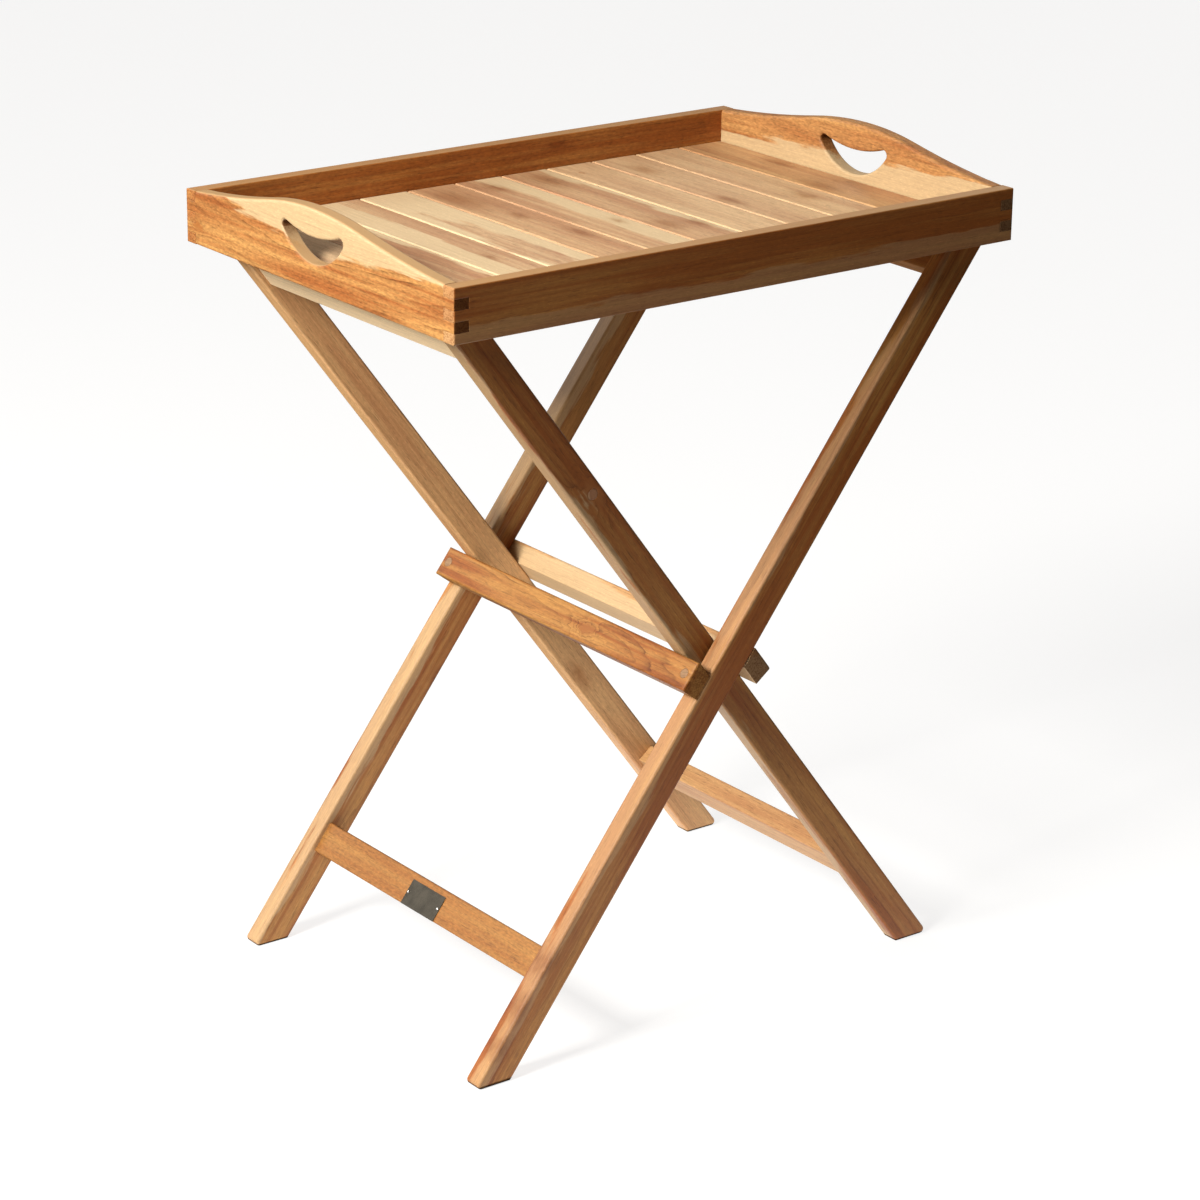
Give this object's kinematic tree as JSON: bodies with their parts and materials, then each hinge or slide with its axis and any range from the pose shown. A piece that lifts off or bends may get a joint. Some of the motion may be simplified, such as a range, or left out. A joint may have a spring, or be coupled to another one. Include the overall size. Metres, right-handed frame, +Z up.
{
  "type": "folding tray table",
  "caption": "Wooden serving tray with shaped handle ends and a slatted base, resting on a folding crossed-leg stand.",
  "frame": {"origin": "on the floor, under the middle of the tray", "axes": "+X along the tray, towards the end that the outer frame's leg tops carry; +Y from the front to the back; +Z up"},
  "size_m": [0.66, 0.449, 0.8205],
  "materials": {
    "teak": "lightly oiled, satin",
    "steel": "brushed",
    "plate": "dark, satin",
    "bright_pin": "bright"
  },
  "bodies": {
    "outer_frame": {"outer_leg_front": "teak", "outer_leg_back": "teak", "outer_top_rail": "teak", "outer_lower_rail": "teak", "outer_stop_rail": "teak", "outer_stop_screws": "steel", "outer_stop_plugs": "teak", "pivot_pin_front": "steel", "pivot_pin_back": "steel", "pivot_washer_front": "steel", "pivot_washer_back": "steel", "label_plate": "plate", "label_plate_pins": "bright_pin"},
    "inner_frame": {"inner_leg_front": "teak", "inner_leg_back": "teak", "inner_top_rail": "teak", "inner_lower_rail": "teak", "inner_stop_rail": "teak", "inner_stop_screws": "steel", "inner_stop_plugs": "teak", "inner_leg_plug": "teak"},
    "tray": {"tray_front_rail": "teak", "tray_back_rail": "teak", "tray_left_end": "teak", "tray_right_end": "teak", "tray_slat_01": "teak", "tray_slat_02": "teak", "tray_slat_03": "teak", "tray_slat_04": "teak", "tray_slat_05": "teak", "tray_slat_06": "teak", "tray_slat_07": "teak", "tray_slat_08": "teak", "tray_slat_09": "teak", "tray_slat_10": "teak", "tray_slat_11": "teak"}
  },
  "joints": [
    {"name": "stand_fold", "type": "hinge", "parent": "outer_frame", "child": "inner_frame", "pos_m": [0, 0, 0.362], "axis": [0, 1, 0], "range_deg": [0, 68.8]},
    {"name": "tray_lift", "type": "slide", "parent": "outer_frame", "child": "tray", "axis": [0, 0, 1], "range_m": [0, 0.485]}
  ],
  "couplings": [
    {"joint": "tray_lift", "follows": "stand_fold", "m_per_rad": 0.4}
  ]
}
